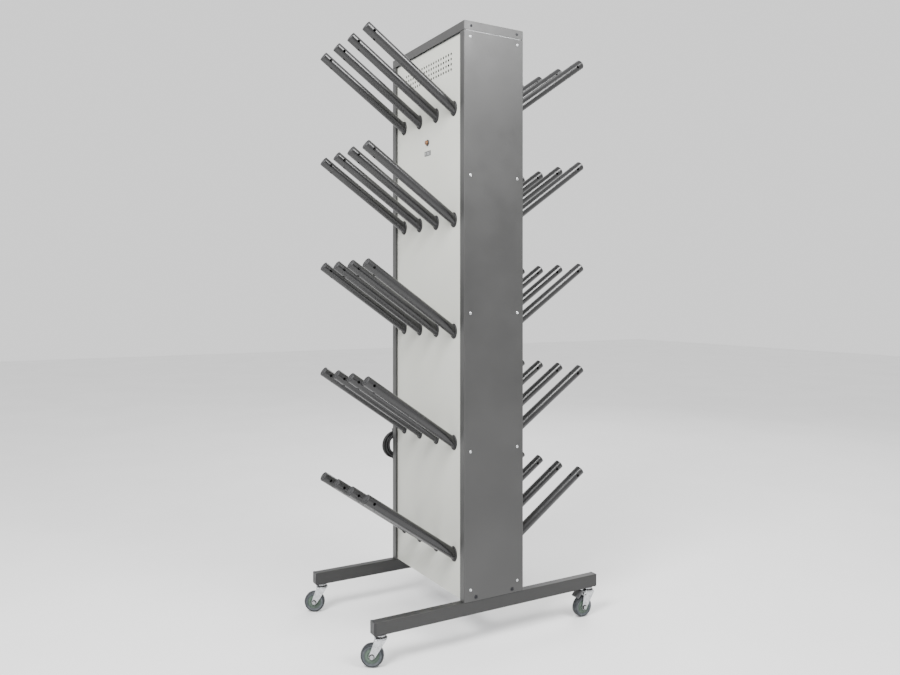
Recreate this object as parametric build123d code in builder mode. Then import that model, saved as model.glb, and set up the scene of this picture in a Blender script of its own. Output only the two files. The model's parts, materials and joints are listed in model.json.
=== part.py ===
from build123d import *
import math
import os

# Boot dryer: a warm-air cabinet of folded sheet on a rolling stand, with forty tubes that boots hang on.
# Millimetres. The origin is on the floor under the middle of the cabinet, +X runs along the pale panels
# to the right end, -Y is the front with the switch, and +Z is up.
os.makedirs("parts", exist_ok=True)

# Cabinet
caster_height = 104.0
cabinet_height = 2000.0
cabinet_width = 550.0
cabinet_depth = 240.0
sheet = 1.5
bend_radius = 2.5
flange_width = 28.0
panel_recess = 9.0
shadow_gap = 1.0
lid_height = 31.0
lid_gap = 2.0
pan_height = 30.0
post_depth = 47.5
post_width = 41.5
top_frame_height = 31.0

# Stand
leg_length = 900.0
leg_width = 30.0
leg_height = 45.0
leg_wall = 2.0
leg_corner = 3.0
end_cap_thickness = 8.0
end_cap_round = 7.0
bracket_size = 32.0
bracket_thickness = 3.0

# Boot tubes
tube_radius = 17.5
tube_wall = 1.5
tube_incline = 35.0
tube_reach = 328.0
tube_inner_end = 55.0
tube_pitch = 127.0
tubes_in_a_row = 4
rows = 5
first_row = 185.0
row_pitch = 383.5
outlet_radius = 5.0
side_outlet_place = 26.0
top_outlet_place = 44.0
cap_thickness = 3.0
cap_plug_depth = 12.0
rail_place = 70.0
rail_height = 60.0
rail_thickness = 2.0
tube_hole = (20.0, 24.0)
grommet_outer = (22.0, 26.5)
grommet_neck = (19.9, 23.9)
grommet_inner = (21.5, 25.5)
grommet_flange = 3.0
grommet_lip = 2.0
grommet_lift = 1.0

# Openings and fasteners, heights counted from the underside of the legs
vent_radius = 5.0
vent_pitch = 18.0
vent_columns = 20
vent_rows = 4
vent_height = 1886.0
screw_heights = (84.5, 550.0, 1016.0, 1481.5, 1947.0)
screw_inset = 25.0
screw_shank = 2.4
screw_head = 5.0
screw_head_height = 2.4
screw_length = 8.0
bolt_height = 57.5
bolt_inset = 46.5
bolt_shank = 3.0
bolt_head = 5.5
bolt_head_height = 3.0
bolt_length = 14.0
lid_screw_height = 1984.0
lid_screw_inset = 27.0
hole_clearance = 0.15

# Switch and label
switch_height = 1633.0
bezel_radius = 11.5
bezel_height = 3.5
barrel_radius = 9.8
barrel_length = 26.0
switch_hole = 10.0
button_radius = 8.0
button_stand_out = 10.0
button_depth = 11.0
label_height = 1594.0
label_size = (48.0, 18.0)
label_thickness = 0.8

# Fan and heater
deck_height = 1790.0
fan_radius = 94.0
fan_depth = 66.0
fan_flange = 8.0
fan_flange_thickness = 3.0
fan_hub_radius = 30.0
blade_length = 64.0
blade_width = 30.0
blade_thickness = 2.0
blade_pitch = 30.0
heater_height = 48.0
element_radius = 5.0
element_pitch = 50.0
fin_radius = 13.0
fin_pitch = 12.0
fins = 14

# Casters
wheel_radius = 37.5
wheel_width = 25.0
hub_radius = 24.0
axle_radius = 4.0
running_clearance = 0.06
trail = 27.0
stem_inset = 30.0
stem_height = 30.0
race_radius = 17.0
rivet_radius = 8.0
head_radius = 22.0
hub_step_radius = 15.0
hub_boss_radius = 9.0
fork_gap = 29.0
fork_plate = 2.5
kingpin_radius = 5.0
fork_half_top = 19.0
fork_foot_radius = 10.0
nut_radius = 7.5
nut_thickness = 4.5
pedal_pin = 2.5
pedal_ear_radius = 6.0
link_radius = 4.2
link_offset = 12.0
link_thickness = 2.5
link_end = ((35.0, 98.5), (41.0, 92.5))
tread_outline = ((34.0, 97.0), (37.0, 100.5), (60.0, 77.5), (57.0, 74.0))
tread_half_width = 19.0

# Power cord
cord_radius = 4.0
coil_radius = 44.0
coil_thickness = 24.0
coil_width = 32.0
gland_place = (-51.0, 800.0)
gland_hole = 10.0
gland_nut = 14.0
gland_nut_thickness = 6.0
gland_dome = 10.5
gland_dome_height = 8.0
gland_relief = 7.2
gland_relief_length = 22.0
hook_radius = 5.0
hook_rise = 34.0
plug_radius = 18.0
plug_length = 36.0
plug_collar = 20.0
pin_radius = 2.4
pin_spacing = 19.0
pin_length = 19.0

# Places worked out from the sizes above
half_width = cabinet_width / 2
half_depth = cabinet_depth / 2
panel_face = half_depth - panel_recess
panel_back = panel_face - sheet
cabinet_bottom = caster_height + leg_height
cabinet_top = caster_height + cabinet_height
wall_top = cabinet_top - lid_height - lid_gap
leg_x = half_width - leg_width / 2
leg_tube_half = leg_length / 2 - end_cap_thickness
stem_y = leg_length / 2 - stem_inset
slope = math.radians(tube_incline)
tube_length = (panel_face + tube_reach - tube_inner_end) / math.cos(slope)
row_heights = [caster_height + first_row + row_pitch * row for row in range(rows)]
screw_places = [
    (side * (half_depth - screw_inset), caster_height + height)
    for side in (-1, 1)
    for height in screw_heights
]
bolt_places = [(side * (half_depth - bolt_inset), caster_height + bolt_height) for side in (-1, 1)]
lid_screw_places = [
    (side * (half_depth - lid_screw_inset), caster_height + lid_screw_height) for side in (-1, 1)
]
coil_centre = Vector(-half_width - 24, -95, caster_height + 483)
hook_place = (coil_centre.Y, coil_centre.Z + coil_radius - coil_thickness / 2 - hook_radius)


def tube_plane(side, height, distance=0.0):
    """The plane across a row of tubes at a distance from their inner ends."""
    outward = Vector(0, side * math.cos(slope), math.sin(slope))
    drop = (panel_face - tube_inner_end) * math.tan(slope)
    start = Vector(0, side * tube_inner_end, height - drop)
    return Plane(origin=start + outward * distance, x_dir=(1, 0, 0), z_dir=outward)


def outer_face(side):
    """The plane of a pale panel's outer face, its normal along -Y for both panels."""
    return Plane.XZ.offset(-side * panel_face)


# End panels: the face, two flanges round the corners and their folded edges
for side, name in ((1, "end_panel_right"), (-1, "end_panel_left")):
    with BuildPart() as end_panel:
        with BuildSketch(Plane.XY.offset(cabinet_bottom)) as section:
            with Locations((side * (half_width - flange_width / 2), 0)):
                Rectangle(flange_width, cabinet_depth)
            fillet(section.vertices().group_by(Axis.X)[-1 if side > 0 else 0], bend_radius)
            with Locations((side * (half_width - flange_width / 2), 0)):
                Rectangle(flange_width - 2 * sheet, cabinet_depth - 2 * sheet, mode=Mode.SUBTRACT)
            with Locations((side * (half_width - flange_width), 0)):
                Rectangle(4 * sheet, 2 * (panel_face + shadow_gap), mode=Mode.SUBTRACT)
        extrude(amount=wall_top - cabinet_bottom)
        with BuildSketch(Plane.YZ.offset(side * half_width)):
            with Locations(*screw_places):
                Circle(screw_shank + hole_clearance)
            with Locations(*bolt_places):
                Circle(bolt_shank + hole_clearance)
            if side < 0:
                with Locations(gland_place):
                    Circle(gland_hole)
        extrude(amount=-side * 2 * sheet, mode=Mode.SUBTRACT)
    end_panel.part.label = name
    export_step(end_panel.part, f"parts/{name}.step")

# Pale panels: tube holes, the grid of air inlets, and in front the switch's hole
for side, name in ((-1, "front_panel"), (1, "back_panel")):
    with BuildPart() as pale_panel:
        with BuildSketch(outer_face(side)):
            with Locations((0, (cabinet_bottom + wall_top) / 2)):
                Rectangle(cabinet_width - 4 * sheet, wall_top - cabinet_bottom)
            for height in row_heights:
                with Locations((0, height)):
                    with GridLocations(tube_pitch, 1, tubes_in_a_row, 1):
                        Ellipse(*tube_hole, mode=Mode.SUBTRACT)
            with Locations((0, caster_height + vent_height)):
                with GridLocations(vent_pitch, vent_pitch, vent_columns, vent_rows):
                    Circle(vent_radius, mode=Mode.SUBTRACT)
            if side < 0:
                with Locations((0, caster_height + switch_height)):
                    Circle(switch_hole, mode=Mode.SUBTRACT)
        extrude(amount=side * sheet)
    pale_panel.part.label = name
    export_step(pale_panel.part, f"parts/{name}.step")

# Lid: a shallow pan turned over
with BuildPart() as top_cover:
    with BuildSketch(Plane.XY.offset(cabinet_top - lid_height)):
        Rectangle(cabinet_width, cabinet_depth)
    extrude(amount=lid_height)
    fillet(top_cover.edges().filter_by(Axis.Z), bend_radius)
    fillet(top_cover.faces().sort_by(Axis.Z)[-1].edges(), 2)
    offset(amount=-sheet, openings=top_cover.faces().sort_by(Axis.Z)[0])
    with BuildSketch(Plane.YZ):
        with Locations(*lid_screw_places):
            Circle(screw_shank + hole_clearance)
    extrude(amount=half_width + 1, both=True, mode=Mode.SUBTRACT)
top_cover.part.label = "top_cover"
export_step(top_cover.part, "parts/top_cover.step")

# Ring that ties the walls together under the lid
with BuildPart() as top_frame:
    with BuildSketch(Plane.XY.offset(wall_top - 4)):
        Rectangle(cabinet_width - 2 * sheet, 2 * panel_back)
        Rectangle(cabinet_width - 4 * sheet, 2 * (panel_back - sheet), mode=Mode.SUBTRACT)
    extrude(amount=top_frame_height)
    with BuildSketch(Plane.YZ):
        with Locations(*lid_screw_places):
            Circle(screw_shank + hole_clearance)
    extrude(amount=half_width, both=True, mode=Mode.SUBTRACT)
top_frame.part.label = "top_frame"
export_step(top_frame.part, "parts/top_frame.step")

# Bottom pan, which stands on the legs
with BuildPart() as base_pan:
    with BuildSketch(Plane.XY.offset(cabinet_bottom)):
        Rectangle(cabinet_width - 2 * sheet, 2 * panel_back)
    extrude(amount=pan_height)
    with BuildSketch(Plane.XY.offset(cabinet_bottom + sheet)):
        Rectangle(cabinet_width - 4 * sheet, 2 * (panel_back - sheet))
    extrude(amount=pan_height, mode=Mode.SUBTRACT)
    with BuildSketch(Plane.YZ):
        with Locations(*bolt_places):
            Circle(bolt_shank + hole_clearance)
    extrude(amount=half_width, both=True, mode=Mode.SUBTRACT)
base_pan.part.label = "base_pan"
export_step(base_pan.part, "parts/base_pan.step")

# Angle posts in the four corners
with BuildPart() as corner_posts:
    with BuildSketch(Plane.XY.offset(cabinet_bottom + pan_height + sheet)):
        for x_side in (-1, 1):
            for y_side in (-1, 1):
                with Locations(
                    (x_side * (half_width - 1.5 * sheet), y_side * (panel_back - post_depth / 2))
                ):
                    Rectangle(sheet, post_depth)
                with Locations(
                    (x_side * (half_width - sheet - post_width / 2), y_side * (panel_back - sheet / 2))
                ):
                    Rectangle(post_width, sheet)
    extrude(amount=wall_top - 5 - cabinet_bottom - pan_height - sheet)
    with BuildSketch(Plane.YZ):
        with Locations(*screw_places):
            Circle(screw_shank + hole_clearance)
    extrude(amount=half_width, both=True, mode=Mode.SUBTRACT)
corner_posts.part.label = "corner_posts"
export_step(corner_posts.part, "parts/corner_posts.step")

# Dome screws of the end panels, and the smaller set in the lid
for name, places in (("end_panel_screws", screw_places), ("lid_screws", lid_screw_places)):
    with BuildPart() as screws:
        for side in (-1, 1):
            with BuildSketch(Plane.YZ.offset(side * half_width)):
                with Locations(*places):
                    Circle(screw_head)
            extrude(amount=side * screw_head_height, taper=28)
            with BuildSketch(Plane.YZ.offset(side * half_width)):
                with Locations(*places):
                    Circle(screw_shank)
            extrude(amount=-side * screw_length)
    screws.part.label = name
    export_step(screws.part, f"parts/{name}.step")

# Legs: rectangular tube with a hole for each caster stem
for side, name in ((1, "leg_right"), (-1, "leg_left")):
    with BuildPart() as leg:
        with BuildSketch(Plane.XZ.offset(-leg_tube_half)) as leg_section:
            with Locations((side * leg_x, caster_height + leg_height / 2)):
                RectangleRounded(leg_width, leg_height, leg_corner)
                Rectangle(leg_width - 2 * leg_wall, leg_height - 2 * leg_wall, mode=Mode.SUBTRACT)
        extrude(amount=2 * leg_tube_half)
        with BuildSketch(Plane.XY.offset(caster_height)):
            with Locations((side * leg_x, -stem_y), (side * leg_x, stem_y)):
                Circle(kingpin_radius + hole_clearance)
        extrude(amount=leg_wall, mode=Mode.SUBTRACT)
    leg.part.label = name
    export_step(leg.part, f"parts/{name}.step")

# Plastic ends of the legs, rounded at the lower corner, with a plug inside the tube
with BuildPart() as leg_end_caps:
    low = caster_height
    high = caster_height + leg_height
    plug_width = leg_width - 2 * leg_wall - 0.2
    plug_height = leg_height - 2 * leg_wall - 0.2
    for side in (-1, 1):
        for end in (-1, 1):
            inner = end * leg_tube_half
            outer = end * leg_length / 2
            with BuildSketch(Plane.YZ.offset(side * leg_x)) as cap_outline:
                with Locations(((inner + outer) / 2, (low + high) / 2)):
                    Rectangle(end_cap_thickness, leg_height)
                corners = cap_outline.vertices().group_by(Axis.Y)[0]
                fillet(corners.sort_by(Axis.X)[-1 if end > 0 else 0], end_cap_round)
            extrude(amount=leg_width / 2, both=True)
            with Locations((side * leg_x, end * (leg_tube_half - 8), (low + high) / 2)):
                Box(plug_width, 16, plug_height)
leg_end_caps.part.label = "leg_end_caps"
export_step(leg_end_caps.part, "parts/leg_end_caps.step")

# Angle brackets inside the cabinet that hold it to the legs, and their black bolts
with BuildPart() as leg_brackets:
    inside = half_width - 2 * sheet
    bracket_low = cabinet_bottom + sheet
    for side in (-1, 1):
        for bolt_y, _ in bolt_places:
            with BuildSketch(Plane.XZ.offset(-bolt_y)):
                with Locations((side * (inside - bracket_thickness / 2), bracket_low + bracket_size / 2)):
                    Rectangle(bracket_thickness, bracket_size)
                with Locations((side * (inside - bracket_size / 2), bracket_low + bracket_thickness / 2)):
                    Rectangle(bracket_size, bracket_thickness)
            extrude(amount=bracket_size / 2, both=True)
    with BuildSketch(Plane.YZ):
        with Locations(*bolt_places):
            Circle(bolt_shank + hole_clearance)
    extrude(amount=half_width, both=True, mode=Mode.SUBTRACT)
leg_brackets.part.label = "leg_brackets"
export_step(leg_brackets.part, "parts/leg_brackets.step")

with BuildPart() as leg_bracket_bolts:
    for side in (-1, 1):
        with BuildSketch(Plane.YZ.offset(side * half_width)):
            with Locations(*bolt_places):
                Circle(bolt_head)
        extrude(amount=side * bolt_head_height, taper=20)
        with BuildSketch(Plane.YZ.offset(side * half_width)):
            with Locations(*bolt_places):
                Circle(bolt_shank)
        extrude(amount=-side * bolt_length)
leg_bracket_bolts.part.label = "leg_bracket_bolts"
export_step(leg_bracket_bolts.part, "parts/leg_bracket_bolts.step")

# Boot tubes with cross-drilled air outlets, their caps, grommets and inner rails
for side, end_name in ((-1, "front"), (1, "back")):
    with BuildPart() as tubes:
        for height in row_heights:
            with BuildSketch(tube_plane(side, height)):
                with GridLocations(tube_pitch, 1, tubes_in_a_row, 1):
                    Circle(tube_radius)
                    Circle(tube_radius - tube_wall, mode=Mode.SUBTRACT)
            extrude(amount=tube_length)
            drill = tube_plane(side, height, tube_length - side_outlet_place)
            with BuildSketch(Plane(origin=drill.origin, z_dir=(1, 0, 0))):
                Circle(outlet_radius)
            extrude(amount=half_width, both=True, mode=Mode.SUBTRACT)
            drill = tube_plane(side, height, tube_length - top_outlet_place)
            with BuildSketch(Plane(origin=drill.origin, x_dir=(1, 0, 0), z_dir=drill.y_dir)):
                with GridLocations(tube_pitch, 1, tubes_in_a_row, 1):
                    Circle(outlet_radius)
            extrude(amount=2 * tube_radius, both=True, mode=Mode.SUBTRACT)
    tubes.part.label = f"{end_name}_tubes"
    export_step(tubes.part, f"parts/{end_name}_tubes.step")

    with BuildPart() as caps:
        for height in row_heights:
            with BuildSketch(tube_plane(side, height, tube_length)):
                with GridLocations(tube_pitch, 1, tubes_in_a_row, 1):
                    Circle(tube_radius)
            extrude(amount=cap_thickness, taper=30)
            with BuildSketch(tube_plane(side, height, tube_length)):
                with GridLocations(tube_pitch, 1, tubes_in_a_row, 1):
                    Circle(tube_radius - tube_wall - hole_clearance)
            extrude(amount=-cap_plug_depth)
    caps.part.label = f"{end_name}_tube_caps"
    export_step(caps.part, f"parts/{end_name}_tube_caps.step")

    with BuildPart() as grommets:
        with BuildSketch(outer_face(side)):
            for height in row_heights:
                with Locations((0, height + grommet_lift)):
                    with GridLocations(tube_pitch, 1, tubes_in_a_row, 1):
                        Ellipse(*grommet_outer)
        extrude(amount=-side * grommet_flange)
        with BuildSketch(outer_face(side)):
            for height in row_heights:
                with Locations((0, height)):
                    with GridLocations(tube_pitch, 1, tubes_in_a_row, 1):
                        Ellipse(*grommet_neck)
        extrude(amount=side * (sheet + grommet_lip))
        with BuildSketch(Plane.XZ.offset(-side * panel_back)):
            for height in row_heights:
                with Locations((0, height)):
                    with GridLocations(tube_pitch, 1, tubes_in_a_row, 1):
                        Ellipse(*grommet_inner)
        extrude(amount=side * grommet_lip)
        for height in row_heights:
            with BuildSketch(tube_plane(side, height)):
                with GridLocations(tube_pitch, 1, tubes_in_a_row, 1):
                    Circle(tube_radius)
            extrude(amount=tube_length, mode=Mode.SUBTRACT)
    grommets.part.label = f"{end_name}_grommets"
    export_step(grommets.part, f"parts/{end_name}_grommets.step")

    with BuildPart() as rails:
        rail_drop = (panel_face - rail_place) * math.tan(slope)
        with BuildSketch(Plane.XZ.offset(-side * rail_place)):
            for height in row_heights:
                with Locations((0, height - rail_drop)):
                    Rectangle(cabinet_width - 4 * sheet, rail_height)
        extrude(amount=side * rail_thickness)
        for height in row_heights:
            with BuildSketch(tube_plane(side, height)):
                with GridLocations(tube_pitch, 1, tubes_in_a_row, 1):
                    Circle(tube_radius)
            extrude(amount=tube_length, mode=Mode.SUBTRACT)
    rails.part.label = f"{end_name}_tube_rails"
    export_step(rails.part, f"parts/{end_name}_tube_rails.step")

# Fan deck, and the axial fan that stands on it
deck_top = caster_height + deck_height + sheet
with BuildPart() as fan_deck:
    with BuildSketch(Plane.XY.offset(deck_top - sheet)):
        Rectangle(cabinet_width - 4 * sheet, 2 * (panel_back - sheet))
        Circle(fan_radius, mode=Mode.SUBTRACT)
    extrude(amount=sheet)
fan_deck.part.label = "fan_deck"
export_step(fan_deck.part, "parts/fan_deck.step")

motor_radius = 36.0
strut_width = 8.0
strut_height = 4.0
with BuildPart() as fan_housing:
    with BuildSketch(Plane.XY.offset(deck_top)):
        RectangleRounded(2 * (fan_radius + fan_flange), 2 * (fan_radius + fan_flange), 12)
        Circle(fan_radius, mode=Mode.SUBTRACT)
    extrude(amount=fan_flange_thickness)
    with BuildSketch(Plane.XY.offset(deck_top)):
        Circle(fan_radius + fan_flange_thickness)
        Circle(fan_radius, mode=Mode.SUBTRACT)
    extrude(amount=fan_depth)
    with BuildSketch(Plane.XY.offset(deck_top + fan_depth - strut_height)):
        for angle in (45, 135):
            with Locations(Location((0, 0, 0), angle)):
                Rectangle(2 * fan_radius + 2, strut_width)
        Circle(motor_radius, mode=Mode.SUBTRACT)
    extrude(amount=strut_height)
fan_housing.part.label = "fan_housing"
export_step(fan_housing.part, "parts/fan_housing.step")

impeller_bottom = deck_top + 8
impeller_height = 20.0
motor_bottom = impeller_bottom + impeller_height + 3
with BuildPart() as fan_motor:
    with BuildSketch(Plane.XY.offset(motor_bottom)):
        Circle(motor_radius)
    extrude(amount=deck_top + fan_depth - motor_bottom)
    fillet(fan_motor.faces().sort_by(Axis.Z)[-1].edges(), 4)
    with BuildSketch(Plane.XY.offset(motor_bottom)):
        Circle(axle_radius)
    extrude(amount=-impeller_height - 4)
fan_motor.part.label = "fan_motor"
export_step(fan_motor.part, "parts/fan_motor.step")

blade_count = 7
with BuildPart() as fan_impeller:
    with BuildSketch(Plane.XY.offset(impeller_bottom)):
        Circle(fan_hub_radius)
    extrude(amount=impeller_height)
    with PolarLocations(0, blade_count):
        blade_middle = (58, 0, impeller_bottom + impeller_height / 2)
        with Locations(Location(blade_middle, (blade_pitch, 0, 0))):
            Box(blade_length, blade_width, blade_thickness)
    with BuildSketch(Plane.XY.offset(impeller_bottom - 10)):
        Circle(axle_radius + running_clearance)
    extrude(amount=impeller_height + 20, mode=Mode.SUBTRACT)
fan_impeller.part.label = "fan_impeller"
export_step(fan_impeller.part, "parts/fan_impeller.step")

# Heater under the deck: an open frame with three finned elements across it
heater_top = deck_top - sheet
heater_middle = heater_top - heater_height / 2
with BuildPart() as heater_frame:
    with BuildSketch(Plane.XY.offset(heater_top)):
        Rectangle(2 * fan_radius + 8, 2 * fan_radius + 8)
        Rectangle(2 * fan_radius + 5, 2 * fan_radius + 5, mode=Mode.SUBTRACT)
    extrude(amount=-heater_height)
heater_frame.part.label = "heater_frame"
export_step(heater_frame.part, "parts/heater_frame.step")

with BuildPart() as heater_elements:
    with BuildSketch(Plane.YZ):
        with Locations((0, heater_middle)):
            with GridLocations(element_pitch, 1, 3, 1):
                Circle(element_radius)
    extrude(amount=fan_radius + 2.5, both=True)
    for fin in range(fins):
        with BuildSketch(Plane.YZ.offset((fin - (fins - 1) / 2) * fin_pitch)):
            with Locations((0, heater_middle)):
                with GridLocations(element_pitch, 1, 3, 1):
                    Circle(fin_radius)
        extrude(amount=1)
heater_elements.part.label = "heater_elements"
export_step(heater_elements.part, "parts/heater_elements.step")

# Control box behind the switch, open towards the front panel, and the conduit down to the cord gland
box_width = 100.0
box_height = 60.0
box_depth = 70.0
box_wall = 2.0
box_middle = caster_height + switch_height - 6
with BuildPart() as control_box:
    with BuildSketch(Plane.XZ.offset(panel_back)):
        with Locations((0, box_middle)):
            Rectangle(box_width, box_height)
    extrude(amount=-box_depth)
    with BuildSketch(Plane.XZ.offset(panel_back)):
        with Locations((0, box_middle)):
            Rectangle(box_width - 2 * box_wall, box_height - 2 * box_wall)
    extrude(amount=-box_depth + box_wall, mode=Mode.SUBTRACT)
control_box.part.label = "control_box"
export_step(control_box.part, "parts/control_box.step")

conduit_x = -half_width + 20
with BuildPart() as wiring_conduit:
    with BuildLine():
        FilletPolyline(
            (conduit_x, gland_place[0], gland_place[1] - 15),
            (conduit_x, gland_place[0], box_middle),
            (-box_width / 2, gland_place[0], box_middle),
            radius=50,
        )
    with BuildSketch(Plane.XY.offset(gland_place[1] - 15)):
        with Locations((conduit_x, gland_place[0])):
            Circle(8)
            Circle(6.5, mode=Mode.SUBTRACT)
    sweep()
wiring_conduit.part.label = "wiring_conduit"
export_step(wiring_conduit.part, "parts/wiring_conduit.step")

# Push switch: the bezel with its barrel, and the button that slides in it
switch_z = caster_height + switch_height
barrel_back = panel_face - barrel_length
button_bore = button_radius + 0.3
with BuildPart() as switch_bezel:
    with BuildSketch(Plane.XZ.offset(panel_face)):
        with Locations((0, switch_z)):
            Circle(bezel_radius)
    extrude(amount=bezel_height, taper=15)
    with BuildSketch(Plane.XZ.offset(panel_face)):
        with Locations((0, switch_z)):
            Circle(barrel_radius)
    extrude(amount=-barrel_length)
    with BuildSketch(Plane.XZ.offset(barrel_back + 3)):
        with Locations((0, switch_z)):
            Circle(button_bore)
    extrude(amount=40, mode=Mode.SUBTRACT)
switch_bezel.part.label = "switch_bezel"
export_step(switch_bezel.part, "parts/switch_bezel.step")

with BuildPart() as switch_button:
    with BuildSketch(Plane.XZ.offset(panel_face + button_stand_out)):
        with Locations((0, switch_z)):
            Circle(button_radius)
    extrude(amount=-button_stand_out - button_depth)
    fillet(switch_button.faces().sort_by(Axis.Y)[0].edges(), 2.5)
switch_button.part.label = "switch_button"
export_step(switch_button.part, "parts/switch_button.step")

with BuildPart() as label_plate:
    with BuildSketch(Plane.XZ.offset(panel_face)):
        with Locations((0, caster_height + label_height)):
            RectangleRounded(*label_size, 1.5)
    extrude(amount=label_thickness)
label_plate.part.label = "label_plate"
export_step(label_plate.part, "parts/label_plate.step")

# Cord gland on the left end panel, its tapered strain relief pointing out
with BuildPart() as cable_gland:
    with BuildSketch(Plane.YZ.offset(-half_width)):
        with Locations(gland_place):
            RegularPolygon(gland_nut, 6)
    extrude(amount=-gland_nut_thickness)
    with BuildSketch(Plane.YZ.offset(-half_width - gland_nut_thickness)):
        with Locations(gland_place):
            Circle(gland_dome)
    extrude(amount=-gland_dome_height, taper=10)
    relief_start = gland_nut_thickness + gland_dome_height
    with BuildSketch(Plane.YZ.offset(-half_width - relief_start)):
        with Locations(gland_place):
            Circle(gland_relief)
    extrude(amount=-gland_relief_length, taper=6)
    with BuildSketch(Plane.YZ.offset(-half_width)):
        with Locations(gland_place):
            Circle(gland_hole - 0.2)
    extrude(amount=12)
cable_gland.part.label = "cable_gland"
export_step(cable_gland.part, "parts/cable_gland.step")

# Hook that carries the put-away cord
with BuildPart() as cable_hook:
    with BuildSketch(Plane.YZ.offset(-half_width)):
        with Locations(hook_place):
            Circle(14)
    extrude(amount=-3, taper=15)
    hook_reach = coil_centre.X - coil_width / 2 - 7
    with BuildLine():
        FilletPolyline(
            (-half_width - 1, *hook_place),
            (hook_reach, *hook_place),
            (hook_reach, hook_place[0], hook_place[1] + hook_rise),
            radius=8,
        )
    with BuildSketch(Plane.YZ.offset(-half_width - 1)):
        with Locations(hook_place):
            Circle(hook_radius)
    sweep()
cable_hook.part.label = "cable_hook"
export_step(cable_hook.part, "parts/cable_hook.step")

# Power cord: out of the gland, down beside the panel and into the coil on the hook; then down to the plug
cord_route = [
    (-311, -51, 800),
    (-341, -51, 800),
    (-366, -51.5, 785),
    (-380, -52, 760),
    (-383, -52, 729),
    (-374, -51.5, 696),
    (-355, -51, 665),
    (-332, -51.5, 637),
    (-314, -51, 606),
]
tail_route = [(-304, -51, 575), (-303, -50, 550), (-303, -50, 525)]


def corner_radii(route):
    """The radius of each corner's arc: 0.45 of the shorter run over the tangent of half the turn."""
    radii = []
    for before, corner, after in zip(route, route[1:], route[2:]):
        run_in = Vector(*corner) - Vector(*before)
        run_out = Vector(*after) - Vector(*corner)
        turn = math.radians(run_in.get_angle(run_out))
        radii.append(0.45 * min(run_in.length, run_out.length) / math.tan(turn / 2))
    return radii


with BuildPart() as power_cord_run:
    for route in (cord_route, tail_route):
        radii = corner_radii(route)
        print("cord radii", [round(radius) for radius in radii])
        with BuildLine() as cord_line:
            FilletPolyline(*route, radius=radii)
        with BuildSketch(Plane(origin=route[0], z_dir=cord_line.line % 0)):
            Circle(cord_radius)
        sweep(path=cord_line.line)
        print("cord length", round(sum(edge.length for edge in cord_line.edges()), 1))
power_cord_run.part.label = "power_cord_run"
export_step(power_cord_run.part, "parts/power_cord_run.step")

with BuildPart() as power_cord_coil:
    with BuildSketch(Plane.XZ.offset(-coil_centre.Y)):
        with Locations((coil_centre.X, coil_centre.Z + coil_radius)):
            RectangleRounded(coil_width, coil_thickness, 7)
    revolve(axis=Axis(coil_centre, (1, 0, 0)))
power_cord_coil.part.label = "power_cord_coil"
export_step(power_cord_coil.part, "parts/power_cord_coil.step")

# Plug on the cord's end: a round body with a tapered collar and two pins, hanging pins down
plug_x, plug_y, plug_top = tail_route[-1]
with BuildPart() as power_plug:
    with BuildSketch(Plane.XY.offset(plug_top)):
        with Locations((plug_x, plug_y)):
            Circle(cord_radius + 1)
    extrude(amount=-plug_collar - 2, taper=-8)
    with BuildSketch(Plane.XY.offset(plug_top - plug_collar)):
        with Locations((plug_x, plug_y)):
            Circle(plug_radius)
    extrude(amount=-plug_length)
    with BuildSketch(Plane.XY.offset(plug_top - plug_collar - plug_length)):
        with Locations((plug_x, plug_y)):
            with GridLocations(1, pin_spacing, 1, 2):
                Circle(pin_radius)
    extrude(amount=-pin_length)
power_plug.part.label = "power_plug"
export_step(power_plug.part, "parts/power_plug.step")

# Caster stems: the pin in the leg, the fixed race under it, and the kingpin with its riveted head
race_height = 5.6
swivel_gap = 0.4
head_height = 7.5
plate_top = caster_height - race_height - swivel_gap - head_height
plate_bottom = plate_top - fork_plate
caster_places = [
    ("front_right", leg_x, -stem_y, (-0.5, -0.866), False),
    ("front_left", -leg_x, -stem_y, (-0.5, -0.866), False),
    ("back_right", leg_x, stem_y, (0.0, -1.0), True),
    ("back_left", -leg_x, stem_y, (0.0, -1.0), True),
]
with BuildPart() as caster_stems:
    stem_points = [(x, y) for _, x, y, _, _ in caster_places]
    for bottom, height, radius in (
        (caster_height, stem_height, kingpin_radius),
        (caster_height - race_height, race_height, race_radius),
        (plate_bottom - 0.4, caster_height - plate_bottom + 0.4, kingpin_radius),
        (plate_bottom - 3.4, 3, rivet_radius),
    ):
        with BuildSketch(Plane.XY.offset(bottom)):
            with Locations(*stem_points):
                Circle(radius)
        extrude(amount=height)
caster_stems.part.label = "caster_stems"
export_step(caster_stems.part, "parts/caster_stems.step")

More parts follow.
